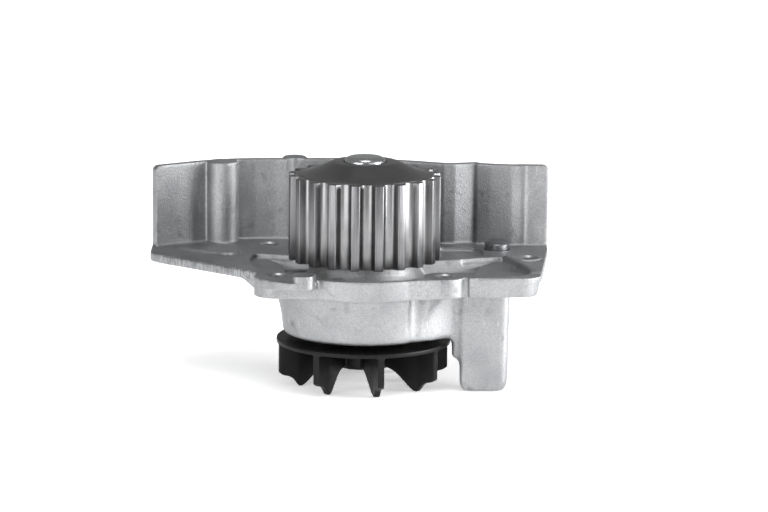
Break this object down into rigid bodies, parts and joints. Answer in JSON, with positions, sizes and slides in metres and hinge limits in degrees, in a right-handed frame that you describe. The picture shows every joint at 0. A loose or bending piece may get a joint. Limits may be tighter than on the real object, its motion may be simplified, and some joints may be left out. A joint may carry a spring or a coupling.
{
  "type": "automotive water pump",
  "caption": "Belt-driven engine coolant pump: cast housing with belt guard and flange, toothed pulley, sealed shaft bearing, face seal and bladed plastic impeller.",
  "frame": {"origin": "centre of the flat end of the shaft, at the pulley, on the axis that the shaft turns about", "axes": "+Z along the shaft, out of the pulley end; +X along the belt guard, which is the pump's longest side; the guard stands on the +Y side"},
  "size_m": [0.1578, 0.1029, 0.09],
  "materials": {
    "cast_aluminium": "as-cast, fine grain, satin",
    "sintered_steel": "sintered and oiled, satin",
    "ground_steel": "ground, semi-bright",
    "moulded_plastic": "moulded, slightly glossy",
    "black_rubber": "moulded, matt",
    "cage_polyamide": "moulded, matt",
    "seal_brass": "pressed, satin",
    "seal_carbon": "lapped, matt",
    "seal_ceramic": "lapped"
  },
  "bodies": {
    "pump_body": {"housing": "cast_aluminium", "gallery_plug": "ground_steel", "bearing_outer_ring": "ground_steel", "bearing_seal_upper": "black_rubber", "bearing_seal_lower": "black_rubber", "seal_case": "seal_brass", "seal_bellows": "black_rubber", "seal_spring": "ground_steel", "seal_carbon_face": "seal_carbon"},
    "rotor": {"shaft": "ground_steel", "pulley": "sintered_steel", "slinger": "black_rubber", "seal_mating_ring": "seal_ceramic", "seal_ring_boot": "black_rubber", "impeller_bush": "ground_steel", "impeller": "moulded_plastic"},
    "ball_train_upper": {"ball_cage_upper": "cage_polyamide", "ball_upper_1": "ground_steel", "ball_upper_2": "ground_steel", "ball_upper_3": "ground_steel", "ball_upper_4": "ground_steel", "ball_upper_5": "ground_steel", "ball_upper_6": "ground_steel", "ball_upper_7": "ground_steel", "ball_upper_8": "ground_steel"},
    "ball_train_lower": {"ball_cage_lower": "cage_polyamide", "ball_lower_1": "ground_steel", "ball_lower_2": "ground_steel", "ball_lower_3": "ground_steel", "ball_lower_4": "ground_steel", "ball_lower_5": "ground_steel", "ball_lower_6": "ground_steel", "ball_lower_7": "ground_steel", "ball_lower_8": "ground_steel"}
  },
  "joints": [
    {"name": "shaft_spin", "type": "hinge", "parent": "pump_body", "child": "rotor", "pos_m": [0, 0, 0], "axis": [0, 0, 1], "continuous": true},
    {"name": "upper_train_spin", "type": "hinge", "parent": "pump_body", "child": "ball_train_upper", "pos_m": [0, 0, 0], "axis": [0, 0, 1], "continuous": true},
    {"name": "lower_train_spin", "type": "hinge", "parent": "pump_body", "child": "ball_train_lower", "pos_m": [0, 0, 0], "axis": [0, 0, 1], "continuous": true}
  ],
  "couplings": [
    {"joint": "upper_train_spin", "follows": "shaft_spin", "ratio": 0.3537},
    {"joint": "lower_train_spin", "follows": "shaft_spin", "ratio": 0.3537}
  ]
}
